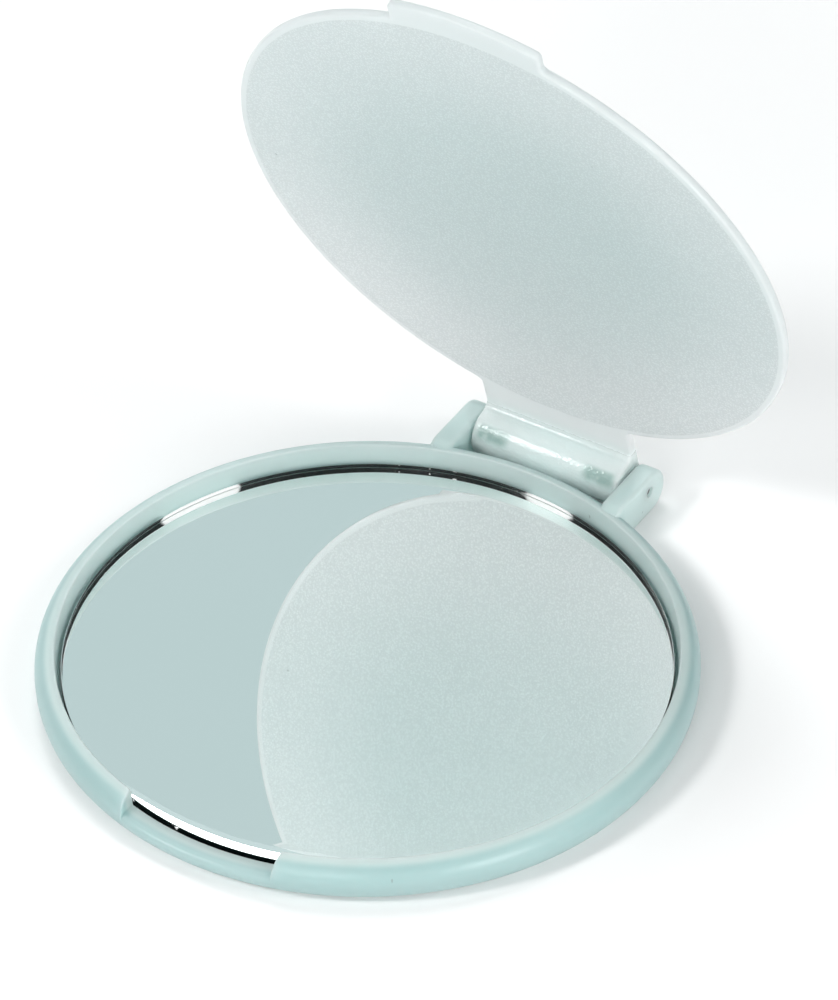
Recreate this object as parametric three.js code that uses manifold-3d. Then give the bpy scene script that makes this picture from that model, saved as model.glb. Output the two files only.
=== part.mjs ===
// Folding pocket mirror: a round moulded tray holds a glass mirror, and a round lid swings on two short
// steel pins between the tray's hinge lugs. Millimetres, +Z up. The origin is the centre of the tray's
// underside, the hinge is at the back (+Y), and the thumb tab is at the front (-Y) when the lid is shut.
import * as THREE from "three";
import { mergeVertices } from "three/addons/utils/BufferGeometryUtils.js";
import Module from "manifold-3d";

// Tray
const TRAY_RADIUS = 31.0;
const RIM_HEIGHT = 4.2;
const RIM_WIDTH = 1.9; // across the rim at its top, where the recess begins
const RIM_ROUNDING = 2.0; // outer edge, above and below
const RIM_INNER_ROUNDING = 0.15;
const WALL_DRAFT = 0.25; // how far the recess wall leans in on its way down
const FLOOR_THICKNESS = 1.0;

// Finger notch at the front of the rim
const NOTCH_WIDTH = 16.2;
const NOTCH_DEPTH = 1.9;
const NOTCH_EDGE_ROUNDING = 0.6;

// Mirror and the tape that holds it
const GLASS_THICKNESS = 1.1;
const GLASS_CLEARANCE = 0.3; // to the foot of the recess wall
const GLASS_EDGE_BEVEL = 0.12;
const TAPE_THICKNESS = 0.3;
const TAPE_INSET = 2.6; // from the edge of the glass

// Lid
const LID_INSET = 2.0; // from the tray's outer edge to the lid's
const LID_THICKNESS = 0.95;
const LID_EDGE_ROUNDING = 0.3;
const LID_GAP = 0.05; // between the shut lid and the top of the rim
const LID_OPEN_DEG = 73.6; // how far the lid stands open at rest
const TAB_WIDTH = 16.0;
const TAB_CORNER = 0.6;

// Hinge
const HINGE_REACH = 3.05; // from the tray's outer edge to the pin's axis
const BARREL_LENGTH = 16.1;
const BARREL_DROP = 2.4; // from the lid's outer face down to the pin's axis, and the barrel's radius
const NECK_FILLET = 0.8; // under the neck, where it meets the barrel
const NECK_ROOT_FILLET = 0.8; // at the neck's sides, where it leaves the disc
const SIDE_PLAY = 0.2; // between the barrel's end and a lug
const LUG_THICKNESS = 2.2;
const LUG_END_RADIUS = 2.2;
const LUG_REACH = 2.85; // from the pin's axis to the lug's end
const LUG_ROUNDING = 0.4;
const LUG_LIFT = 0.1; // from the surface that the tray stands on
const LUG_ROOT = 2.0; // how far a lug's body reaches back into the rim

// Pins
const PIN_RADIUS = 0.5;
const PIN_LENGTH = 6.0;
const PIN_RECESS = 0.25; // below the lug's outer face
const PIN_SEAT_CLEARANCE = 0.03; // radial, in the lug
const PIN_RUNNING_CLEARANCE = 0.08; // radial, in the barrel
const BORE_EXTRA_DEPTH = 0.4; // past the pin's inner end

// Fineness
const ROUND_STEPS = 128;
const ARC_STEPS = 8;
const BORE_STEPS = 32;
const OVERSHOOT = 1.0; // how far a cutter runs past what it cuts

// What follows from the sizes above
const RECESS_RADIUS = TRAY_RADIUS - RIM_WIDTH;
const WALL_FOOT_RADIUS = RECESS_RADIUS - WALL_DRAFT;
const GLASS_RADIUS = WALL_FOOT_RADIUS - GLASS_CLEARANCE;
const TAPE_TOP = FLOOR_THICKNESS + TAPE_THICKNESS;
const NOTCH_FLOOR = RIM_HEIGHT - NOTCH_DEPTH;
const LID_RADIUS = TRAY_RADIUS - LID_INSET;
const LID_INNER_Z = RIM_HEIGHT + LID_GAP;
const LID_OUTER_Z = LID_INNER_Z + LID_THICKNESS;
const HINGE_Y = TRAY_RADIUS + HINGE_REACH;
const HINGE_Z = LID_OUTER_Z - BARREL_DROP;
const BARREL_RADIUS = BARREL_DROP;
const LUG_INNER_X = BARREL_LENGTH / 2 + SIDE_PLAY;
const LUG_OUTER_X = LUG_INNER_X + LUG_THICKNESS;
const LUG_TOP = LUG_LIFT + 2 * LUG_END_RADIUS;
const PIN_CENTRE_X = LUG_OUTER_X - PIN_RECESS - PIN_LENGTH / 2;
const TAB_RADIUS = TRAY_RADIUS;

const wasm = await Module();
wasm.setup();

// A closed geometry as a manifold-3d solid, for joining and cutting.
function solid(geometry) {
  const bare = geometry.clone();
  bare.deleteAttribute("normal");
  bare.deleteAttribute("uv");
  const merged = mergeVertices(bare, 1e-4);
  return new wasm.Manifold(
    new wasm.Mesh({
      numProp: 3,
      vertProperties: new Float32Array(merged.attributes.position.array),
      triVerts: new Uint32Array(merged.index.array),
    }),
  );
}

// A manifold-3d solid as a geometry with flat faces.
function geometryOf(made) {
  const mesh = made.getMesh();
  const geometry = new THREE.BufferGeometry();
  const points = new THREE.BufferAttribute(new Float32Array(mesh.vertProperties), 3);
  geometry.setAttribute("position", points);
  geometry.setIndex(new THREE.BufferAttribute(new Uint32Array(mesh.triVerts), 1));
  const flat = geometry.toNonIndexed();
  flat.computeVertexNormals();
  return flat;
}

function plastic(color, roughness) {
  return new THREE.MeshStandardMaterial({ color, roughness, metalness: 0 });
}

function part(name, geometry, material) {
  const mesh = new THREE.Mesh(geometry, material);
  mesh.name = name;
  return mesh;
}

// Points on an arc from one angle to another, in degrees, both ends included.
function arc(x, y, radius, fromDeg, toDeg, steps = ARC_STEPS) {
  const points = [];
  for (let i = 0; i <= steps; i++) {
    const angle = THREE.MathUtils.degToRad(fromDeg + ((toDeg - fromDeg) * i) / steps);
    points.push(new THREE.Vector2(x + radius * Math.cos(angle), y + radius * Math.sin(angle)));
  }
  return points;
}

// A profile of (radius, height) turned about Z. The lathe turns about Y, so it is stood up.
function turned(profile) {
  return new THREE.LatheGeometry(profile, ROUND_STEPS).rotateX(Math.PI / 2);
}

// An outline drawn in (Y, Z) and extruded along X from one place to another, its edges eased by a bevel.
function extrudedAlongX(outline, fromX, toX, easing = 0) {
  const geometry = new THREE.ExtrudeGeometry(new THREE.Shape(outline), {
    depth: toX - fromX - 2 * easing,
    bevelEnabled: easing > 0,
    bevelThickness: easing,
    bevelSize: easing,
    bevelOffset: -easing,
    bevelSegments: 3,
    curveSegments: 1,
  });
  // Shape x becomes Y, shape y becomes Z, and the depth becomes X.
  const frame = new THREE.Matrix4().set(0, 0, 1, fromX + easing, 1, 0, 0, 0, 0, 1, 0, 0, 0, 0, 0, 1);
  return geometry.applyMatrix4(frame);
}

// A round bar along X, centred at (x, y, z).
function barAlongX(radius, length, x, y, z, steps = BORE_STEPS) {
  const geometry = new THREE.CylinderGeometry(radius, radius, length, steps);
  return geometry.rotateZ(Math.PI / 2).translate(x, y, z);
}

// A box between two corners.
function block(low, high) {
  const size = high.map((value, i) => value - low[i]);
  const centre = high.map((value, i) => (value + low[i]) / 2);
  return new THREE.BoxGeometry(...size).translate(...centre);
}

// Where the rim's outer rounding meets the small inner one: both arcs touch there with one tangent, and
// the crown stands at the rim's height.
function crown() {
  const reach = RIM_ROUNDING - RIM_INNER_ROUNDING;
  const outerRadius = TRAY_RADIUS - RIM_ROUNDING;
  const innerRadius = RECESS_RADIUS + RIM_INNER_ROUNDING;
  const turn = Math.acos((innerRadius - outerRadius) / reach);
  const innerZ = RIM_HEIGHT - RIM_INNER_ROUNDING;
  return { innerRadius, innerZ, outerRadius, outerZ: innerZ - reach * Math.sin(turn), turn };
}

// The tray's section: out along its underside, up round the rim, and back along the floor.
function trayProfile() {
  const { innerRadius, innerZ, outerRadius, outerZ, turn } = crown();
  const turnDeg = THREE.MathUtils.radToDeg(turn);
  return [
    new THREE.Vector2(0, 0),
    ...arc(outerRadius, RIM_ROUNDING, RIM_ROUNDING, -90, 0),
    ...arc(outerRadius, outerZ, RIM_ROUNDING, 0, turnDeg),
    ...arc(innerRadius, innerZ, RIM_INNER_ROUNDING, turnDeg, 180, 3).slice(1),
    new THREE.Vector2(WALL_FOOT_RADIUS, FLOOR_THICKNESS),
    new THREE.Vector2(0, FLOOR_THICKNESS),
  ];
}

// What is cut away for the finger notch: a slot through the rim, down to a sill with a rounded outer edge.
function notchCutter() {
  const edge = NOTCH_EDGE_ROUNDING;
  const reach = RIM_ROUNDING - edge;
  const turn = Math.asin((RIM_ROUNDING - NOTCH_FLOOR + edge) / reach);
  const low = RIM_ROUNDING - RIM_ROUNDING * Math.sin(turn);
  const edgeRadius = TRAY_RADIUS - RIM_ROUNDING + reach * Math.cos(turn);
  const sill = turned([
    new THREE.Vector2(0, low),
    ...arc(edgeRadius, NOTCH_FLOOR - edge, edge, -THREE.MathUtils.radToDeg(turn), 90),
    new THREE.Vector2(0, NOTCH_FLOOR),
  ]);
  const half = NOTCH_WIDTH / 2;
  const back = -Math.sqrt(WALL_FOOT_RADIUS ** 2 - half ** 2) + OVERSHOOT;
  const slot = block([-half, -TRAY_RADIUS - OVERSHOOT, low], [half, back, RIM_HEIGHT + OVERSHOOT]);
  return solid(slot).subtract(solid(sill));
}

// A lug's side: a flat foot, a round end beyond the pin, and a top a little above the rim's crown.
function lugOutline() {
  const endY = HINGE_Y + LUG_REACH - LUG_END_RADIUS;
  const endZ = LUG_LIFT + LUG_END_RADIUS;
  const riseY = Math.sqrt(crown().innerRadius ** 2 - LUG_INNER_X ** 2);
  return [
    new THREE.Vector2(riseY - LUG_ROOT, LUG_LIFT),
    ...arc(endY, endZ, LUG_END_RADIUS, -90, 90, 18),
    new THREE.Vector2(riseY + LUG_TOP - RIM_HEIGHT + LUG_ROUNDING, LUG_TOP),
    new THREE.Vector2(riseY, RIM_HEIGHT),
    new THREE.Vector2(riseY - LUG_ROOT, RIM_HEIGHT),
  ];
}

// One hinge lug, cut back to the crown so that it leaves the recess clear. side is 1 or -1.
function lug(side) {
  const ends = [side * LUG_INNER_X, side * LUG_OUTER_X].sort((a, b) => a - b);
  const body = solid(extrudedAlongX(lugOutline(), ...ends, LUG_ROUNDING));
  const clearTo = crown().innerRadius;
  const recess = new THREE.CylinderGeometry(clearTo, clearTo, 4 * RIM_HEIGHT, ROUND_STEPS);
  const seat = PIN_RADIUS + PIN_SEAT_CLEARANCE;
  const middle = (ends[0] + ends[1]) / 2;
  const hole = barAlongX(seat, LUG_THICKNESS + 2 * OVERSHOOT, middle, HINGE_Y, HINGE_Z);
  return body.subtract(solid(recess.rotateX(Math.PI / 2))).subtract(solid(hole));
}

// The moulded tray: floor, rim with its finger notch, and the two hinge lugs.
function tray() {
  const body = solid(turned(trayProfile())).subtract(notchCutter());
  return geometryOf(body.add(lug(1)).add(lug(-1)));
}

// A flat disc with both edges eased, from one height to another.
function easedDisc(radius, lowZ, highZ, easing) {
  return turned([
    new THREE.Vector2(0, lowZ),
    ...arc(radius - easing, lowZ + easing, easing, -90, 0, 3),
    ...arc(radius - easing, highZ - easing, easing, 0, 90, 3),
    new THREE.Vector2(0, highZ),
  ]);
}

// The +X half of what joins the disc to the straight side of a plate that leaves it at -Y: a concave fillet.
function rootFillet(half, radius) {
  const y = -Math.sqrt((LID_RADIUS + radius) ** 2 - (half + radius) ** 2);
  const fromDeg = THREE.MathUtils.radToDeg(Math.atan2(-y, -half - radius));
  const points = arc(half + radius, y, radius, fromDeg, 180, 5);
  return [new THREE.Vector2(points[0].x, points[0].y + OVERSHOOT), ...points];
}

// An outline from its +X half, which runs from the root to the tip.
function mirrored(right) {
  const left = right.filter((point) => point.x > 0).reverse();
  return [...right, ...left.map((point) => new THREE.Vector2(-point.x, point.y))];
}

// The thumb tab in plan: straight sides, rounded outer corners and a tip flush with the tray.
function tabOutline() {
  const half = TAB_WIDTH / 2;
  const tipY = -Math.sqrt((TAB_RADIUS - TAB_CORNER) ** 2 - (half - TAB_CORNER) ** 2);
  const tipDeg = THREE.MathUtils.radToDeg(Math.atan2(tipY, half - TAB_CORNER));
  return mirrored([
    ...rootFillet(half, TAB_CORNER),
    ...arc(half - TAB_CORNER, tipY, TAB_CORNER, 0, tipDeg, 4),
    ...arc(0, 0, TAB_RADIUS, tipDeg, -90, 6).slice(1, -1),
    new THREE.Vector2(0, -TAB_RADIUS),
  ]);
}

// The neck in plan, drawn towards -Y like the tab, as far as the pin's axis.
function neckOutline() {
  const half = BARREL_LENGTH / 2;
  return mirrored([...rootFillet(half, NECK_ROOT_FILLET), new THREE.Vector2(half, -HINGE_Y)]);
}

// A flat plate as thick as the lid, with eased edges, from its outline in plan.
function lidPlate(outline) {
  const easing = LID_EDGE_ROUNDING / 2;
  const geometry = new THREE.ExtrudeGeometry(new THREE.Shape(outline), {
    depth: LID_THICKNESS - 2 * easing,
    bevelThickness: easing,
    bevelSize: easing,
    bevelOffset: -easing,
    bevelSegments: 2,
  });
  return geometry.translate(0, 0, LID_INNER_Z + easing);
}

// The barrel in section: the neck's outer face turns round the pin's axis and comes back to its inner
// face through a fillet.
function barrelOutline() {
  const across = BARREL_RADIUS + NECK_FILLET;
  const filletZ = LID_INNER_Z - NECK_FILLET;
  const filletY = HINGE_Y - Math.sqrt(across ** 2 - (filletZ - HINGE_Z) ** 2);
  const lean = THREE.MathUtils.radToDeg(Math.atan2(filletZ - HINGE_Z, HINGE_Y - filletY));
  return [
    new THREE.Vector2(filletY - OVERSHOOT, LID_OUTER_Z),
    ...arc(HINGE_Y, HINGE_Z, BARREL_RADIUS, 90, -180 - lean, 28),
    ...arc(filletY, filletZ, NECK_FILLET, -lean, 90).slice(1),
    new THREE.Vector2(filletY - OVERSHOOT, LID_INNER_Z),
  ];
}

// The blind bore for one pin, in the end of the barrel. side is 1 or -1.
function barrelBore(side) {
  const innerEnd = PIN_CENTRE_X - PIN_LENGTH / 2 - BORE_EXTRA_DEPTH;
  const outerEnd = BARREL_LENGTH / 2 + OVERSHOOT;
  const radius = PIN_RADIUS + PIN_RUNNING_CLEARANCE;
  return barAlongX(radius, outerEnd - innerEnd, (side * (innerEnd + outerEnd)) / 2, HINGE_Y, HINGE_Z);
}

// The lid as it lies when shut: disc, thumb tab, neck and barrel.
function lid() {
  const half = BARREL_LENGTH / 2;
  const disc = easedDisc(LID_RADIUS, LID_INNER_Z, LID_OUTER_Z, LID_EDGE_ROUNDING);
  const barrel = extrudedAlongX(barrelOutline(), -half, half, LID_EDGE_ROUNDING / 2);
  return geometryOf(
    solid(disc)
      .add(solid(lidPlate(tabOutline())))
      .add(solid(lidPlate(neckOutline()).rotateZ(Math.PI)))
      .add(solid(barrel))
      .subtract(solid(barrelBore(1)))
      .subtract(solid(barrelBore(-1))),
  );
}

function pin(side) {
  return barAlongX(PIN_RADIUS, PIN_LENGTH, side * PIN_CENTRE_X, HINGE_Y, HINGE_Z);
}

const trayPlastic = plastic(0xc4d8d8, 0.45);
const lidPlastic = plastic(0xd0dfdf, 0.55);
const steel = new THREE.MeshStandardMaterial({ color: 0xb5b8ba, roughness: 0.3, metalness: 1 });
const mirror = new THREE.MeshStandardMaterial({ color: 0xe9efee, roughness: 0.03, metalness: 1 });
const tape = new THREE.MeshStandardMaterial({ color: 0xf1f1ea, roughness: 0.9, metalness: 0 });

const pocketMirror = new THREE.Group();
const tapeRadius = GLASS_RADIUS - TAPE_INSET;
const tapeDisc = new THREE.CylinderGeometry(tapeRadius, tapeRadius, TAPE_THICKNESS, ROUND_STEPS);
tapeDisc.rotateX(Math.PI / 2).translate(0, 0, (FLOOR_THICKNESS + TAPE_TOP) / 2);
const glassDisc = easedDisc(GLASS_RADIUS, TAPE_TOP, TAPE_TOP + GLASS_THICKNESS, GLASS_EDGE_BEVEL);

pocketMirror.add(part("base_tray", tray(), trayPlastic));
pocketMirror.add(part("adhesive_tape_disc", tapeDisc, tape));
pocketMirror.add(part("mirror_glass", glassDisc, mirror));
pocketMirror.add(part("hinge_pin_left", pin(-1), steel));
pocketMirror.add(part("hinge_pin_right", pin(1), steel));

// The lid turns about the pins' axis.
const swing = new THREE.Group();
swing.position.set(0, HINGE_Y, HINGE_Z);
swing.rotation.x = -THREE.MathUtils.degToRad(LID_OPEN_DEG);
const lidMesh = part("lid", lid(), lidPlastic);
lidMesh.position.set(0, -HINGE_Y, -HINGE_Z);
swing.add(lidMesh);
pocketMirror.add(swing);

export default pocketMirror;
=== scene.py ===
# %% [markdown]
# # A folding pocket mirror
# A round tray of frosted plastic holds a glass mirror. A round lid of the same plastic swings on two
# short steel pins at the back. This lesson loads the measured model, then lays a finer, rounder skin over
# the tray and the lid, gives the mirror its silver and its dark ground edge, and paints every surface
# with nodes. Lengths in the text and the constants are millimetres; Blender works in metres.

# %% Load the measured model
import math
import bpy
import numpy as np
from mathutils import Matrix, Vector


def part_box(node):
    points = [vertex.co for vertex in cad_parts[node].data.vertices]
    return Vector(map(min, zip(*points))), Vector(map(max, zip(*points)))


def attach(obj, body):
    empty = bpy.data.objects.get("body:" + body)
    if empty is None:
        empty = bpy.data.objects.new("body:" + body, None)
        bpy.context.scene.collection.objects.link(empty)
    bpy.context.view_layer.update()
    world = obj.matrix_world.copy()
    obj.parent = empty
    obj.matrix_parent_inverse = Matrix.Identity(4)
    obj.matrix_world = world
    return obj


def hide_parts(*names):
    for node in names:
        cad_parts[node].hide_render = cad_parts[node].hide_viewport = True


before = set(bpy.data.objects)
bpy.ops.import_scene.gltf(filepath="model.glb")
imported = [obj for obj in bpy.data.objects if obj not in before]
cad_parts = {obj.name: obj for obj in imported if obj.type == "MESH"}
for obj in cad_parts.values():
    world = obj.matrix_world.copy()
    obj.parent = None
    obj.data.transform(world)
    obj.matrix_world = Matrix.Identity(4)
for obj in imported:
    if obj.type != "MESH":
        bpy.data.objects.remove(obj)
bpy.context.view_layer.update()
MM = 0.001

# %% [markdown]
# ## Sizes
# The big sizes are read from the model's own boxes. The small ones, such as roundings, are those of the
# real moulding.

# %% Sizes, in millimetres
def box_mm(node):
    low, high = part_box(node)
    return np.array(low) / MM, np.array(high) / MM


tray_high = box_mm("base_tray")[1]
lid_high = box_mm("lid")[1]
glass_low, glass_high = box_mm("mirror_glass")
tape_low = box_mm("adhesive_tape_disc")[0]
pin_low, pin_high = box_mm("hinge_pin_right")

TRAY_RADIUS = tray_high[0]
RIM_HEIGHT = 4.2
RIM_ROUNDING = 2.0
RIM_CENTRE = TRAY_RADIUS - RIM_ROUNDING
CROWN_ROUNDING = 0.15
RECESS_RADIUS = TRAY_RADIUS - 1.9
WALL_LEAN = 0.25
WALL_FOOT_RADIUS = RECESS_RADIUS - WALL_LEAN
FLOOR_TOP = tape_low[2]
FLOOR_FILLET = 0.2
NOTCH_HALF = 8.1
NOTCH_FLOOR = 2.3
NOTCH_ROUNDING = 0.6
SILL_ROUNDING = 0.12
LID_RADIUS = lid_high[0]
LID_INNER_Z = 4.25
LID_OUTER_Z = 5.2
LID_ROUNDING = 0.28
TAB_HALF = 8.0
TAB_CORNER = 0.6
HINGE_Y, HINGE_Z = ((pin_low + pin_high) / 2)[1:]
BARREL_HALF = 8.05
BARREL_RADIUS = LID_OUTER_Z - HINGE_Z
SIDE_STEP = 0.015
NECK_FILLET = 0.8
LUG_INNER_X, LUG_OUTER_X = 8.25, 10.45
LUG_END_RADIUS = 2.2
LUG_END_Y = tray_high[1] - LUG_END_RADIUS
LUG_FOOT_Z = 0.1
LUG_ROUNDING = 0.4
HOLE_RADIUS = 0.53
BORE_RADIUS = 0.58
BORE_END_X = 3.8
LID_OPEN = math.radians(73.6)
GLASS_RADIUS = glass_high[0]
GLASS_ROUNDING = 0.12
GLASS_SHARP = 12
SILVER_INSET = 0.07
SILVER_LIFT, SILVER_THICKNESS, SILVER_ROUNDING = 0.02, 0.03, 0.01
PIN_ROUNDING = 0.12
print("tray radius", round(TRAY_RADIUS, 2), "lid radius", round(LID_RADIUS, 2))
print("pin axis at", HINGE_Y, HINGE_Z)

# %% [markdown]
# ## Shapes as arrays
# Each new surface is worked out as one array of points. An arc is a centre plus a radius times the cosine
# and sine of evenly spaced angles. A skin joins the rows of a grid of points with four-sided faces.

# %% Arcs and skins
def arc(x, y, radius, start, end, count):
    """Points at equal steps of angle, in degrees: centre plus radius times (cosine, sine)."""
    angle = np.radians(np.linspace(start, end, count))
    return np.stack([x + radius * np.cos(angle), y + radius * np.sin(angle)], axis=1)


def skin(name, rows):
    """A closed surface over a grid of points: rows run round the piece and each row closes on itself.
    The first and last rows are drawn together to their mean point, which closes the two ends."""
    count, around = rows.shape[:2]
    ends = rows[[0, -1]].mean(axis=1)
    points = np.concatenate([rows.reshape(-1, 3), ends])
    row, column = np.meshgrid(np.arange(count - 1), np.arange(around), indexing="ij")
    after = (column + 1) % around
    quads = np.stack([row * around + column, row * around + after,
                      (row + 1) * around + after, (row + 1) * around + column], axis=-1).reshape(-1, 4)
    column = np.arange(around)
    after = (column + 1) % around
    first, last = count * around, count * around + 1
    low = np.stack([np.full(around, first), after, column], axis=1)
    base = (count - 1) * around
    high = np.stack([np.full(around, last), base + column, base + after], axis=1)
    mesh = bpy.data.meshes.new(name)
    mesh.from_pydata((points * MM).tolist(), [], quads.tolist() + low.tolist() + high.tolist())
    mesh.update()
    piece = bpy.data.objects.new(name, mesh)
    bpy.context.scene.collection.objects.link(piece)
    return piece


def inset(outline, amount):
    """The outline moved inwards: each point steps along the mean of its two edges' inward normals,
    lengthened so that straight sides move by exactly the amount."""
    before = outline - np.roll(outline, 1, axis=0)
    after = np.roll(outline, -1, axis=0) - outline
    normals = [np.stack([-e[:, 1], e[:, 0]], axis=1) / np.linalg.norm(e, axis=1, keepdims=True)
               for e in (before, after)]
    mean = normals[0] + normals[1]
    mean /= np.linalg.norm(mean, axis=1, keepdims=True)
    stretch = np.clip((mean * normals[0]).sum(axis=1, keepdims=True), 0.5, 1)
    return outline + amount * mean / stretch


def slab(name, outline, low, high, rounding, axis, rings=6, steps=5, centre=None):
    """A plate from a counter-clockwise outline, its edges rounded by a quarter circle: at angle t the
    outline is inset by rounding times (1 - sin t) and stands rounding times (1 - cos t) in from a face.
    Its faces are filled with copies of the outline that shrink to a centre which sees all of it. axis says
    what the depth runs along."""
    turn = np.linspace(0, math.pi / 2, steps)
    depth = high - low
    edge = [(rounding * (1 - math.sin(t)), rounding * (1 - math.cos(t))) for t in turn]
    levels = edge + [(back, depth - along) for back, along in reversed(edge)]
    loops = [np.column_stack([inset(outline, back), np.full(len(outline), low + along)])
             for back, along in levels]
    centre = np.append(outline.mean(axis=0) if centre is None else centre, 0)
    share = np.linspace(0.02, 1, rings, endpoint=False)[:, None, None]
    fill = [centre * (1 - share) + loop * share + np.array([0, 0, 1]) * loop[:, 2:] * (1 - share)
            for loop in (loops[0], loops[-1])]
    rows = np.concatenate([fill[0], np.array(loops), fill[1][::-1]])
    order = {"x": [2, 0, 1], "z": [0, 1, 2]}[axis]
    return skin(name, rows[:, :, order])


# %% [markdown]
# ## Joining and cutting
# Blender's manifold boolean joins or cuts two closed pieces. The result keeps soft shading everywhere except
# on edges sharper than the angle given.

# %% Join, cut and shade
def combine(piece, tool, operation):
    """Joins the tool to the piece, or cuts it away, and removes the tool."""
    cut = piece.modifiers.new(operation.lower(), "BOOLEAN")
    cut.operation, cut.solver, cut.object = operation, "MANIFOLD", tool
    graph = bpy.context.evaluated_depsgraph_get()
    made = bpy.data.meshes.new_from_object(piece.evaluated_get(graph))
    piece.modifiers.clear()
    piece.data = made
    bpy.data.objects.remove(tool)
    return piece


def shade(piece, sharp_over=32):
    piece.data.polygons.foreach_set("use_smooth", [True] * len(piece.data.polygons))
    piece.data.set_sharp_from_angle(angle=math.radians(sharp_over))
    print(piece.name, len(piece.data.polygons), "faces")
    return piece


# %% [markdown]
# ## The tray
# The tray is one section carried round a circle. At the front the section changes from the full rim to a
# low sill: there the columns of the grid run straight back instead of towards the centre, so that the
# notch gets two flat side walls.

# %% The tray's two sections
def underside():
    """From near the middle out along the flat bottom, then up the rim's lower rounding to just under its
    widest point."""
    last = -12.4
    return np.concatenate([
        np.stack([np.linspace(1, RIM_CENTRE - 0.4, 22), np.zeros(22)], axis=1),
        arc(RIM_CENTRE, RIM_ROUNDING, RIM_ROUNDING, -90, last, 16),
    ])


def rim_section():
    """The full rim: the outer rounding meets the small crown rounding where their tangents agree."""
    reach = RIM_ROUNDING - CROWN_ROUNDING
    inner = RECESS_RADIUS + CROWN_ROUNDING
    turn = math.degrees(math.acos((inner - RIM_CENTRE) / reach))
    inner_z = RIM_HEIGHT - CROWN_ROUNDING
    outer_z = inner_z - reach * math.sin(math.radians(turn))
    return np.concatenate([
        underside(),
        arc(RIM_CENTRE, outer_z, RIM_ROUNDING, 0, turn, 20),
        arc(inner, inner_z, CROWN_ROUNDING, turn, 180, 7)[1:],
        wall_and_floor(inner_z),
    ])


def sill_section():
    """The notch's sill: the outer rounding is cut short and turns over into a flat top."""
    reach = RIM_ROUNDING - NOTCH_ROUNDING
    turn = math.degrees(math.asin((RIM_ROUNDING - NOTCH_FLOOR + NOTCH_ROUNDING) / reach))
    edge = RIM_CENTRE + reach * math.cos(math.radians(turn))
    inner_z = NOTCH_FLOOR - SILL_ROUNDING
    return np.concatenate([
        underside(),
        arc(edge, NOTCH_FLOOR - NOTCH_ROUNDING, NOTCH_ROUNDING, -turn, 90, 20),
        arc(WALL_FOOT_RADIUS + WALL_LEAN, inner_z, SILL_ROUNDING, 88, 180, 7)[1:],
        wall_and_floor(inner_z),
    ])


def wall_and_floor(top):
    """From top down the leaning wall, round the fillet and in along the floor."""
    full_height = RIM_HEIGHT - CROWN_ROUNDING - FLOOR_TOP
    wall_top = np.array([[WALL_FOOT_RADIUS + WALL_LEAN * (top - FLOOR_TOP) / full_height, top]])
    wall_foot = np.array([[WALL_FOOT_RADIUS, FLOOR_TOP + FLOOR_FILLET]])
    share = np.linspace(0.15, 1, 7)[:, None]
    wall = wall_top * (1 - share) + wall_foot * share
    fillet = arc(WALL_FOOT_RADIUS - FLOOR_FILLET, FLOOR_TOP + FLOOR_FILLET, FLOOR_FILLET, 0, -90, 5)[1:]
    floor = np.stack([np.linspace(WALL_FOOT_RADIUS - 0.8, 1, 20), np.full(20, FLOOR_TOP)], axis=1)
    return np.concatenate([wall, fillet, floor])


# %% Carry the sections round
def tray_shell():
    """Point = (r sin a, -r cos a, z), where r and z mix the rim's and the sill's sections, and a is the
    column's own angle, or near the notch the angle whose sine is the column's X over r. At each wall of
    the notch, the columns stand the distances in wall from it and have dropped to the sill by the
    shares in drop."""
    in_notch, in_rim = 40, 210
    straight_to, fade = 13, 4
    wall = np.array([0.30, 0.16, 0.07, 0.02, 0.0, -0.01, -0.02, -0.06, -0.14])
    drop = np.array([0.0, 0.01, 0.035, 0.10, 0.2, 0.5, 0.8, 0.97, 1.0])
    step = NOTCH_HALF + wall
    middle = np.linspace(-step[-1], step[-1], in_notch + 2)[1:-1]
    across = np.concatenate([-step, middle, step[::-1]])
    lower = np.concatenate([drop, np.ones(in_notch), drop[::-1]])
    near = np.degrees(np.arcsin(across / TRAY_RADIUS))
    rest = np.linspace(near[-1], 360 + near[0], in_rim + 2)[1:-1]
    angle = np.radians((np.concatenate([near, rest]) + 180) % 360 - 180)
    mix = np.concatenate([lower, np.zeros(in_rim)])[None, :, None]
    section = rim_section()[:, None] * (1 - mix) + sill_section()[:, None] * mix
    r, z = section[..., 0], section[..., 1]
    side = TRAY_RADIUS * np.sin(angle)
    straight = np.arcsin(np.clip(side / np.maximum(r, WALL_FOOT_RADIUS), -1, 1))
    blend = np.clip((straight_to - np.abs(side)) / fade, 0, 1) * (np.cos(angle) > 0)
    a = angle + blend * (straight - angle)
    return skin("tray", np.stack([r * np.sin(a), -r * np.cos(a), z], axis=-1))


# %% The hinge lugs, and the tray made whole
def lug(side):
    """One lug: a plate seen from the side, with a round end at the back, that sinks into the rim."""
    crown = RECESS_RADIUS + CROWN_ROUNDING
    rise = math.sqrt(crown ** 2 - LUG_INNER_X ** 2)
    top = LUG_FOOT_Z + 2 * LUG_END_RADIUS
    outline = np.concatenate([
        np.stack([np.linspace(rise - 0.2, LUG_END_Y - 0.5, 6), np.full(6, LUG_FOOT_Z)], axis=1),
        arc(LUG_END_Y, LUG_FOOT_Z + LUG_END_RADIUS, LUG_END_RADIUS, -90, 90, 40),
        np.stack([np.linspace(LUG_END_Y - 0.5, rise + 1.1, 5), np.full(5, top)], axis=1),
        np.array([[rise + 0.85, top - 0.03], [rise + 0.6, top - 0.12], [rise + 0.3, top - 0.27]]),
        np.array([[rise, RIM_HEIGHT - 0.05], [rise - 0.2, RIM_HEIGHT - 0.35]]),
    ])
    low, high = sorted([side * LUG_INNER_X, side * LUG_OUTER_X])
    return slab("lug", outline, low, high, LUG_ROUNDING, "x")


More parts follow.
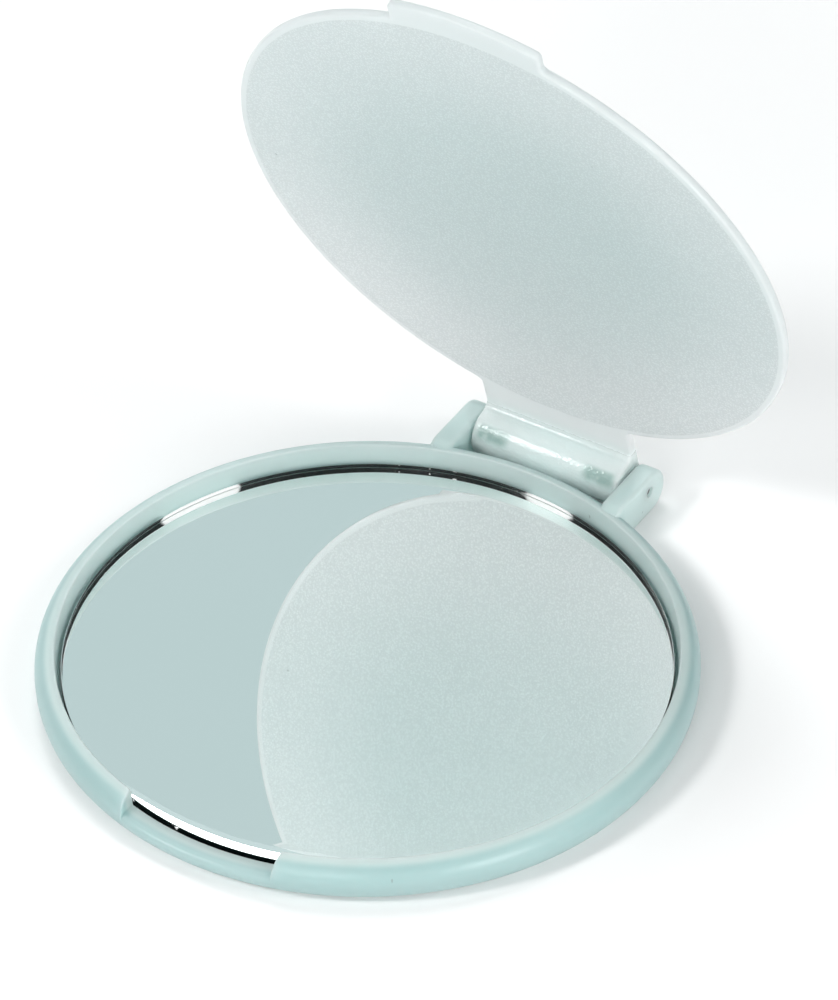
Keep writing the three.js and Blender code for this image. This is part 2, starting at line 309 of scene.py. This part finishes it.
def round_bar(radius, low, high, rounding=0.0001):
    outline = arc(HINGE_Y, HINGE_Z, radius, 0, 360, 49)[:-1]
    return slab("bar", outline, low, high, rounding, "x", rings=2, steps=2)


def drill(piece, radius, inner, outer):
    """Cuts a hole along the pins' axis on each side, from X = inner to X = outer."""
    for side in (1, -1):
        low, high = sorted([side * inner, side * outer])
        piece = combine(piece, round_bar(radius, low, high), "DIFFERENCE")
    return piece


tray = tray_shell()
for side in (1, -1):
    tray = combine(tray, lug(side), "UNION")
shade(drill(tray, HOLE_RADIUS, LUG_INNER_X - 1, LUG_OUTER_X + 1))

# %% [markdown]
# ## The lid
# The lid is drawn shut, as one outline with its tab and its neck, then turned about the pins' axis to
# where it stands. Each point also keeps its shut place, in an attribute, so that the grain inside the
# lid stays put when the lid moves.

# %% The lid's outline, barrel and pin bores
def lid_outline():
    """Counter-clockwise from the tab: straight sides meet the disc through fillets. A fillet's centre is
    where a circle round the disc, bigger by its radius, crosses a line beside the tab or neck."""
    def root(half, radius):
        return math.sqrt((LID_RADIUS + radius) ** 2 - (half + radius) ** 2)

    tab_y = root(TAB_HALF, TAB_CORNER)
    neck_y = root(BARREL_HALF, NECK_FILLET)
    tip_y = math.sqrt((TRAY_RADIUS - TAB_CORNER) ** 2 - (TAB_HALF - TAB_CORNER) ** 2)
    tip = math.degrees(math.atan2(-tip_y, TAB_HALF - TAB_CORNER))
    tab_edge = math.degrees(math.atan2(-tab_y, TAB_HALF + TAB_CORNER))
    neck_edge = math.degrees(math.atan2(neck_y, BARREL_HALF + NECK_FILLET))
    right = np.concatenate([
        arc(0, 0, TRAY_RADIUS, -90, tip, 14)[1:],
        arc(TAB_HALF - TAB_CORNER, -tip_y, TAB_CORNER, tip, 0, 8)[1:],
        arc(TAB_HALF + TAB_CORNER, -tab_y, TAB_CORNER, 180, 180 + tab_edge, 8),
        arc(0, 0, LID_RADIUS, tab_edge, neck_edge, 130)[1:-1],
        arc(BARREL_HALF + NECK_FILLET, neck_y, NECK_FILLET, -180 + neck_edge, -180, 8),
        np.stack([np.full(8, BARREL_HALF), np.linspace(neck_y + 0.4, HINGE_Y, 8)], axis=1),
    ])
    left = right[::-1] * [-1, 1]
    return np.concatenate([right, left, [[0, -TRAY_RADIUS]]])


def barrel():
    """The barrel's circle, run into the neck's flat outer face and, through a fillet, its inner face."""
    across = BARREL_RADIUS + NECK_FILLET
    fillet_z = LID_INNER_Z - NECK_FILLET
    fillet_y = HINGE_Y - math.sqrt(across ** 2 - (fillet_z - HINGE_Z) ** 2)
    lean = math.degrees(math.atan2(fillet_z - HINGE_Z, HINGE_Y - fillet_y))
    start = fillet_y - 1
    outline = np.concatenate([
        arc(HINGE_Y, HINGE_Z, BARREL_RADIUS, 180 - lean, 450, 72),
        [[start, LID_OUTER_Z], [start, LID_INNER_Z]],
        arc(fillet_y, fillet_z, NECK_FILLET, 90, -lean, 10)[:-1],
    ])
    half = BARREL_HALF - SIDE_STEP
    return slab("barrel", outline, -half, half, LID_ROUNDING + SIDE_STEP, "x",
                centre=(HINGE_Y - 0.3, LID_INNER_Z + 0.45))


lid = slab("lid_plate", lid_outline(), LID_INNER_Z, LID_OUTER_Z, LID_ROUNDING, "z", rings=40)
lid = drill(combine(lid, barrel(), "UNION"), BORE_RADIUS, BORE_END_X, BARREL_HALF + 1)
lid.name = "frosted_lid"


# %% Stand the lid open
def stand_open(piece):
    """Turns each point by the lid's angle about the pins' axis: y and z, measured from the axis, become
    y cos a + z sin a and z cos a - y sin a for a lid that opens by a."""
    mesh = piece.data
    shut = np.zeros(len(mesh.vertices) * 3)
    mesh.vertices.foreach_get("co", shut)
    shut = shut.reshape(-1, 3)
    place = mesh.attributes.new("shut_place", "FLOAT_VECTOR", "POINT")
    place.data.foreach_set("vector", shut.ravel())
    axis = np.array([0, HINGE_Y, HINGE_Z]) * MM
    y, z = (shut - axis)[:, 1], (shut - axis)[:, 2]
    c, s = math.cos(LID_OPEN), math.sin(LID_OPEN)
    opened = np.stack([shut[:, 0], y * c + z * s, z * c - y * s], axis=1) + axis * [0, 1, 1]
    mesh.vertices.foreach_set("co", opened.ravel())
    mesh.update()
    return shade(piece)


stand_open(lid)

# %% [markdown]
# ## The mirror, its silver and the pins
# The mirror is a real sheet of clear glass. The silver is a thin bright film just inside its back, so
# that light passes down and up through the glass. Both keep every edge over 12 degrees sharp, because a
# flat mirror has to stay flat up to its edge.

# %% Glass, silver and pins
def disc(name, radius, low, high, rounding):
    return slab(name, arc(0, 0, radius, 0, 360, 241)[:-1], low, high, rounding, "z", rings=12)


glass = disc("mirror_sheet", GLASS_RADIUS, glass_low[2], glass_high[2], GLASS_ROUNDING)
silver_z = glass_low[2] + SILVER_LIFT
silver = disc("silver_film", GLASS_RADIUS - SILVER_INSET, silver_z, silver_z + SILVER_THICKNESS,
              SILVER_ROUNDING)
for piece in (glass, silver):
    shade(piece, GLASS_SHARP)
pins = []
for side, name in ((-1, "left_pin"), (1, "right_pin")):
    low, high = sorted([side * pin_low[0], side * pin_high[0]])
    pin = round_bar((pin_high[2] - pin_low[2]) / 2, low, high, PIN_ROUNDING)
    pin.name = name
    pins.append(shade(pin))

# %% [markdown]
# ## Painting with nodes
# A Flow is one value or colour on its way through a material. Plus, minus and times make the matching
# Math nodes, whichever side the plain number is on.

# %% Node helpers
class Flow:
    def __init__(self, paint, socket):
        self.paint, self.socket = paint, socket

    def maths(self, operation, first, second):
        return self.paint.node("ShaderNodeMath", {0: first, 1: second}, operation=operation)

    def __add__(self, other): return self.maths("ADD", self, other)
    def __radd__(self, other): return self.maths("ADD", other, self)
    def __sub__(self, other): return self.maths("SUBTRACT", self, other)
    def __rsub__(self, other): return self.maths("SUBTRACT", other, self)
    def __mul__(self, other): return self.maths("MULTIPLY", self, other)
    def __rmul__(self, other): return self.maths("MULTIPLY", other, self)


class Paint:
    """A material or a world, and the one method that makes any node in it: type, inputs and settings."""

    def __init__(self, name, library=bpy.data.materials):
        self.owner = library.new(name)
        self.owner.use_nodes = True
        self.tree = self.owner.node_tree
        self.tree.nodes.clear()

    def node(self, kind, inputs=None, output=0, **settings):
        made = self.tree.nodes.new(kind)
        for setting, value in settings.items():
            setattr(made, setting, value)
        for key, value in (inputs or {}).items():
            if isinstance(value, Flow):
                self.tree.links.new(value.socket, made.inputs[key])
            else:
                made.inputs[key].default_value = value
        return Flow(self, made.outputs[output]) if made.outputs else None

    def noise(self, place, size_mm, detail=2.0, roughness=0.5):
        """Smooth random values whose patches are about size_mm across."""
        return self.node("ShaderNodeTexNoise", {"Vector": place, "Scale": 1000 / size_mm,
                                                "Detail": detail, "Roughness": roughness})

    def cells(self, place, size_mm):
        """The distance to the nearest of many points that stand about size_mm apart."""
        return self.node("ShaderNodeTexVoronoi", {"Vector": place, "Scale": 1000 / size_mm})

    def between(self, value, low, high, to_low=0.0, to_high=1.0):
        return self.node("ShaderNodeMapRange", {"Value": value, "From Min": low, "From Max": high,
                                                "To Min": to_low, "To Max": to_high},
                         interpolation_type="SMOOTHSTEP")

    def window(self, value, rise, fall):
        """One from the end of the rise to the start of the fall, and nought outside them."""
        return self.between(value, *rise) * self.between(value, *fall, 1.0, 0.0)

    def mix(self, share, first, second):
        """A colour from first to second. A colour mix has its colours in sockets 6 and 7."""
        return self.node("ShaderNodeMix", {"Factor": share, 6: first, 7: second}, output=2, data_type="RGBA")

    def bump(self, height, distance_mm, strength=1.0):
        return self.node("ShaderNodeBump", {"Height": height, "Distance": distance_mm * MM,
                                            "Strength": strength})

    def finish(self, shader, kind="ShaderNodeOutputMaterial"):
        self.node(kind, {"Surface": shader})
        return self.owner

    def principled(self, **inputs):
        """The surface itself. An input's name has underscores where the socket's has spaces."""
        return self.finish(self.node("ShaderNodeBsdfPrincipled", {
            name.replace("_", " "): value for name, value in inputs.items()}))

    def object_place(self):
        return self.node("ShaderNodeTexCoord", output=3)

    def attribute(self, name):
        return self.node("ShaderNodeAttribute", output=1, attribute_name=name)

    def parts_mm(self, place):
        apart = self.node("ShaderNodeSeparateXYZ", {0: place}).socket.node
        return [Flow(self, part) * (1 / MM) for part in apart.outputs]


def rgb(red, green, blue):
    """A colour from its screen values, 0 to 255, by the sRGB curve."""
    values = [(c / 255 / 12.92) if c / 255 <= 0.04045 else ((c / 255 + 0.055) / 1.055) ** 2.4
              for c in (red, green, blue)]
    return (*values, 1.0)


# %% [markdown]
# ## The plastic
# Frosted plastic lets light in and scatters it, so most of its colour comes from below the surface and a
# little light passes through. The tray and the lid share one recipe. Only the lid's inner face carries
# the moulding grain, and it stops short of the rim, which leaves a smooth border. The barrel is smoother,
# and it is painted a paler, greener tint, as painted light for the light coming through its thick plastic;
# the pins show through it as two dim spots of painted shade. Each pair below is where a tint starts to
# change and where the change is complete, in millimetres.

# %% Frosted plastic
PAINTED_LIGHT_BACKWARD, PAINTED_LIGHT_OUTWARD = (-5, 28), (12, 28)
GRAIN_SIZE = 0.24
GRAIN_EDGE = (LID_RADIUS - 0.75, LID_RADIUS - 0.6)
GRAIN_DEPTH = (LID_INNER_Z + 0.02, LID_INNER_Z + 0.08)
NECK_TINT_AND_PAINTED_LIGHT = (29.5, 32.5)
BARREL_START = (31.0, 31.6)
PIN_SHADE_ACROSS = ((3.7, 4.9), (7.0, 8.0))
PIN_SHADE_HEIGHT = ((0.5, 1.1), (1.6, 2.2))
PIN_SHADE_BACK = (BARREL_START, (33.2, 33.6))
RIM_TINT_AND_SHADE = ((29.7, 30.3), (31.0, 31.3))
LUG_ACROSS = ((8.1, 8.3), (10.4, 10.6))
LUG_START = (27.6, 28.4)


def frosted(name, pale, deep, lid_skin):
    """Tray and lid share the clouds, the fine texture and the rare dark specks. The tray's outer rounding
    has a deeper tint and painted shade. The lid has painted light, palest near its edge and its hinge,
    carries the grain on its inner face, and shows the pins in its barrel as two dim spots of painted shade.
    The lid is measured by its shut place."""
    paint = Paint(name)
    place = paint.attribute("shut_place") if lid_skin else paint.object_place()
    x, y, z = paint.parts_mm(place)
    radius = paint.node("ShaderNodeMath", {0: x * x + y * y, 1: 0.5}, operation="POWER")
    clouds = paint.noise(place, 9, detail=3)
    fine = paint.noise(place, 0.35, detail=2)
    specks = paint.between(paint.noise(place, 1.1, detail=1), 0.80, 0.83)
    height = fine * 0.15 + clouds * 0.5
    roughness = 0.28 + clouds * 0.08 + fine * 0.05
    aside = paint.node("ShaderNodeMath", {0: x}, operation="ABSOLUTE")
    if lid_skin:
        # Painted light: the lid is painted paler towards its hinge and towards its edge, where more light
        # reaches it.
        painted_light = paint.between(y, *PAINTED_LIGHT_BACKWARD) * 0.6 + paint.between(radius, *PAINTED_LIGHT_OUTWARD) * 0.4
        tint = paint.mix(painted_light, deep, pale)
        grained = paint.between(radius, *GRAIN_EDGE, 1.0, 0.0) * paint.between(z, *GRAIN_DEPTH, 1.0, 0.0)
        grain = paint.cells(place, GRAIN_SIZE)
        tint = paint.mix(grained * paint.between(grain, 0.1, 0.6) * 0.2, tint, rgb(96, 116, 114))
        # Painted light and tint: the neck and barrel are painted paler and greener, standing in for the
        # light that comes through the thick plastic there.
        tint = paint.mix(paint.between(y, *NECK_TINT_AND_PAINTED_LIGHT) * 0.8, tint, rgb(228, 246, 243))
        barrel_skin = paint.between(y, *BARREL_START)
        height = height + grain * grained * 2.2 + barrel_skin * grain * 1.1
        roughness = roughness - barrel_skin * 0.13
        # Painted shade: two dim spots on the barrel's skin stand in for the dark pins lying inside it.
        painted_pin_shade = paint.window(aside, *PIN_SHADE_ACROSS) * paint.window(z, *PIN_SHADE_HEIGHT)
        painted_pin_shade = painted_pin_shade * paint.window(y, *PIN_SHADE_BACK)
        painted_pin_shade = painted_pin_shade * paint.between(paint.noise(place, 1.2), 0.25, 0.55, 0.5, 1.0)
        tint = paint.mix(painted_pin_shade * 0.7, tint, rgb(128, 164, 156))
    else:
        tint = paint.mix(clouds, deep, pale)
        in_lug = paint.window(aside, *LUG_ACROSS) * paint.between(y, *LUG_START)
        # Painted shade and tint: the tray's outer rounding, but not the lugs, is painted deeper and darker.
        tint = paint.mix(paint.window(radius, *RIM_TINT_AND_SHADE) * (1 - in_lug) * 0.8, tint, rgb(170, 202, 202))
    tint = paint.mix(specks * 0.5, tint, rgb(120, 135, 132))
    return paint.principled(
        Base_Color=tint, Roughness=roughness, IOR=1.49, Normal=paint.bump(height, 0.025, 0.7),
        Transmission_Weight=0.3, Subsurface_Weight=0.8, Subsurface_Scale=0.003,
        Subsurface_Radius=(1.0, 1.0, 1.0), Specular_IOR_Level=0.5)


def paint_piece(piece, material):
    piece.data.materials.clear()
    piece.data.materials.append(material)
    print(piece.name, "painted with", material.name)


tray_paint = frosted("frosted_tray", rgb(213, 232, 230), rgb(204, 227, 224), lid_skin=False)
lid_paint = frosted("frosted_lid_plastic", rgb(240, 245, 246), rgb(208, 222, 222), lid_skin=True)
paint_piece(tray, tray_paint)
paint_piece(lid, lid_paint)

# %% [markdown]
# ## Glass, silver, steel and tape
# The glass has a faint green cast and a few dull smears. Its ground edge is nearly black, with rare pale
# chips and two stretches painted white and emitting light: painted highlights and glints of the lamps in
# the edge. The pins are drawn steel, painted darker than bare steel as painted shade for their ends deep
# in the holes, with fine lines along their length.

# %% Glass and silver
def clear_glass():
    paint = Paint("clear_glass")
    place = paint.object_place()
    smears = paint.between(paint.noise(place, 14, detail=4), 0.55, 0.8, 0.0, 0.035)
    tint = paint.mix(paint.noise(place, 30), rgb(250, 253, 252), rgb(252, 254, 253))
    normal = paint.bump(paint.noise(place, 25), 0.002, 0.2)
    return paint.principled(Base_Color=tint, Roughness=smears, IOR=1.52, Transmission_Weight=1.0,
                            Specular_Tint=(0.1, 0.1, 0.1, 1.0), Normal=normal)


PAINTED_HIGHLIGHTS = ((156, 9), (84.5, 5.5))


def ground_edge():
    """Nearly black, with rare small pale chips and two polished stretches painted white, which also emit
    light:
    painted glints and highlights of the lamps. Each stretch is where the direction from the centre is within
    half a width of its own, both in degrees: there the cosine between the two is over the half width's."""
    paint = Paint("ground_edge")
    place = paint.object_place()
    outward = paint.node("ShaderNodeVectorMath", {0: place}, operation="NORMALIZE")
    # Painted glints: rare pale chips of the ground edge, and below two stretches, are painted white and emit
    # light, for the lamps caught in the polished edge.
    painted_glint = paint.between(paint.noise(place, 0.9, detail=2), 0.70, 0.74) * 0.8
    for degrees, half_width in PAINTED_HIGHLIGHTS:
        toward = (math.cos(math.radians(degrees)), math.sin(math.radians(degrees)), 0)
        near = paint.node("ShaderNodeVectorMath", {0: outward, 1: toward}, output=1, operation="DOT_PRODUCT")
        ragged = near + paint.noise(place, 1.5, detail=3) * 0.006
        edge = math.cos(math.radians(half_width))
        painted_glint = painted_glint + paint.between(ragged, edge, edge + 0.003)
    painted_glint = paint.node("ShaderNodeClamp", {0: painted_glint})
    tint = paint.mix(painted_glint, rgb(0, 5, 5), rgb(255, 255, 255))
    # The painted glints emit light as painted light.
    painted_light = paint.mix(painted_glint, rgb(0, 0, 0), rgb(255, 255, 255))
    return paint.principled(Base_Color=tint, Roughness=0.3, Specular_IOR_Level=0.05,
                            Emission_Color=painted_light, Emission_Strength=0.5)


def silvering():
    paint = Paint("silvering")
    place = paint.object_place()
    patches = paint.noise(place, 18, detail=2)
    tint = paint.mix(patches, rgb(249, 251, 250), rgb(251, 252, 252))
    return paint.principled(Base_Color=tint, Metallic=1.0, Roughness=patches * 0.02)


paint_piece(glass, clear_glass())
glass.data.materials.append(ground_edge())
normals = np.zeros(len(glass.data.polygons) * 3)
glass.data.polygons.foreach_get("normal", normals)
upright = np.abs(normals[2::3]) < 0.5
glass.data.polygons.foreach_set("material_index", upright.astype(np.int32))
print("faces on the ground edge:", int(upright.sum()))
paint_piece(silver, silvering())


# %% Steel and tape
def drawn_steel():
    paint = Paint("drawn_steel")
    place = paint.node("ShaderNodeVectorMath", {0: paint.object_place(), 1: (0.08, 1.0, 1.0)},
                       operation="MULTIPLY")
    lines = paint.noise(place, 0.08, detail=3)
    # The steel is painted darker than bare steel, as painted shade for the pin ends that sit deep in their
    # holes.
    tint = paint.mix(lines, rgb(74, 76, 78), rgb(128, 128, 126))
    return paint.principled(Base_Color=tint, Metallic=1.0, Roughness=0.2 + lines * 0.15,
                            Normal=paint.bump(lines, 0.004, 0.5))


def foam_tape():
    paint = Paint("foam_tape")
    place = paint.object_place()
    cells = paint.cells(place, 0.4)
    tint = paint.mix(cells, rgb(236, 236, 228), rgb(247, 247, 242))
    return paint.principled(Base_Color=tint, Roughness=0.85 + cells * 0.1,
                            Normal=paint.bump(cells, 0.03, 0.6))


steel = drawn_steel()
for pin in pins:
    paint_piece(pin, steel)
paint_piece(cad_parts["adhesive_tape_disc"], foam_tape())

# %% [markdown]
# ## Put each piece on its body
# The lid's skin swings with the lid, and everything else stays with the tray.

# %% Bodies
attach(tray, "base")
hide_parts("base_tray")
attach(glass, "base")
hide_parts("mirror_glass")
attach(silver, "base")
for pin, node in zip(pins, ("hinge_pin_left", "hinge_pin_right")):
    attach(pin, "base")
    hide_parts(node)
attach(lid, "lid")
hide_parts("lid")

# %% [markdown]
# ## Floor, light and camera
# A pale floor runs well past the picture. Six soft round lights stand about a metre off: the key is high
# at the front left, two more are at the right, and weaker or broader ones fill in from the front, the
# back and above. The sky is grey, with one paler, cooler wall that only the mirror looks into. The camera
# looks down from the front right through a long lens.

# %% Floor
def pale_floor():
    paint = Paint("pale_floor")
    place = paint.object_place()
    tint = paint.mix(paint.noise(place, 40), rgb(246, 246, 246), rgb(248, 248, 248))
    return paint.principled(Base_Color=tint, Roughness=0.9)


FLOOR_SIDE = 4
bpy.ops.mesh.primitive_plane_add(size=FLOOR_SIDE)
floor = bpy.context.object
floor.name = "floor"
floor.data.materials.append(pale_floor())


# %% Light
WALL_DIRECTION = (-0.403, 0.648, 0.647)
WALL_EDGE = (0.82, 0.93)
WALL_COLOUR = (0.535, 0.655, 0.665, 1.0)
SKY_COLOUR = (0.21, 0.21, 0.21, 1.0)
LIGHTS = {
    "key": (0.3, 6.0, (-0.56, -0.70, 0.79)),
    "side": (0.35, 2.5, (0.90, 0.16, 0.78)),
    "low_side": (0.5, 6.5, (1.05, -0.35, 0.30)),
    "front": (0.6, 4.5, (0.25, -1.05, 0.5)),
    "back": (0.6, 2.0, (-1.1, 0.25, 0.5)),
    "over": (0.6, 4.5, (-0.4, 0.5, 1.1)),
}


def soft_light(name, size, power, place, target=(0, 0.005, 0.01)):
    """A round light of a size in metres and a power in watts, turned to face the target."""
    light = bpy.data.lights.new(name, "AREA")
    light.shape, light.size, light.energy = "DISK", size, power
    lamp = bpy.data.objects.new(name, light)
    lamp.location = place
    away = np.array(place) - np.array(target)
    lamp.rotation_euler = (math.atan2(math.hypot(away[0], away[1]), away[2]), 0,
                           math.atan2(away[0], -away[1]))
    bpy.context.scene.collection.objects.link(lamp)


def studio_sky():
    """A grey sky with one paler, cooler wall: the share of wall grows with the cosine between a direction
    and the wall's own."""
    paint = Paint("studio_sky", bpy.data.worlds)
    toward = paint.node("ShaderNodeVectorMath", {0: paint.node("ShaderNodeTexCoord"), 1: WALL_DIRECTION},
                        output=1, operation="DOT_PRODUCT")
    colour = paint.mix(paint.between(toward, *WALL_EDGE), SKY_COLOUR, WALL_COLOUR)
    background = paint.node("ShaderNodeBackground", {"Color": colour, "Strength": 1.0})
    bpy.context.scene.world = paint.finish(background, "ShaderNodeOutputWorld")


bpy.context.scene.view_settings.view_transform = "Standard"
for name, (size, power, place) in LIGHTS.items():
    soft_light(name, size, power, place)
studio_sky()
print("lights:", ", ".join(LIGHTS))


# %% Camera
SENSOR_HEIGHT = 24


def place_camera(azimuth, elevation, roll, distance, across, upward, lens_ratio):
    """Looks back at the origin from azimuth and elevation, in degrees, then slides along its own right and
    up, in millimetres. The matrix goes to Blender turned over, because it is read column by column."""
    a, e, r = (math.radians(v) for v in (azimuth, elevation, roll))
    back = np.array([math.sin(a) * math.cos(e), -math.cos(a) * math.cos(e), math.sin(e)])
    right = np.array([math.cos(a), math.sin(a), 0])
    up = np.cross(back, right)
    right, up = right * math.cos(r) + up * math.sin(r), up * math.cos(r) - right * math.sin(r)
    data = bpy.data.cameras.new("camera")
    data.sensor_fit, data.sensor_height = "VERTICAL", SENSOR_HEIGHT
    data.lens = lens_ratio * data.sensor_height
    data.clip_start, data.clip_end = 0.01, 20
    camera = bpy.data.objects.new("camera", data)
    place = (right * across + up * upward + back * distance) * MM
    matrix = np.eye(4)
    matrix[:3] = np.stack([right, up, back, place], axis=1)
    camera.matrix_world = matrix.T
    bpy.context.scene.collection.objects.link(camera)
    bpy.context.scene.camera = camera
    print("camera at", np.round(place, 4))


place_camera(azimuth=31.88, elevation=40.28, roll=-0.62, distance=903.33, across=4.764, upward=16.81,
             lens_ratio=9.6935)
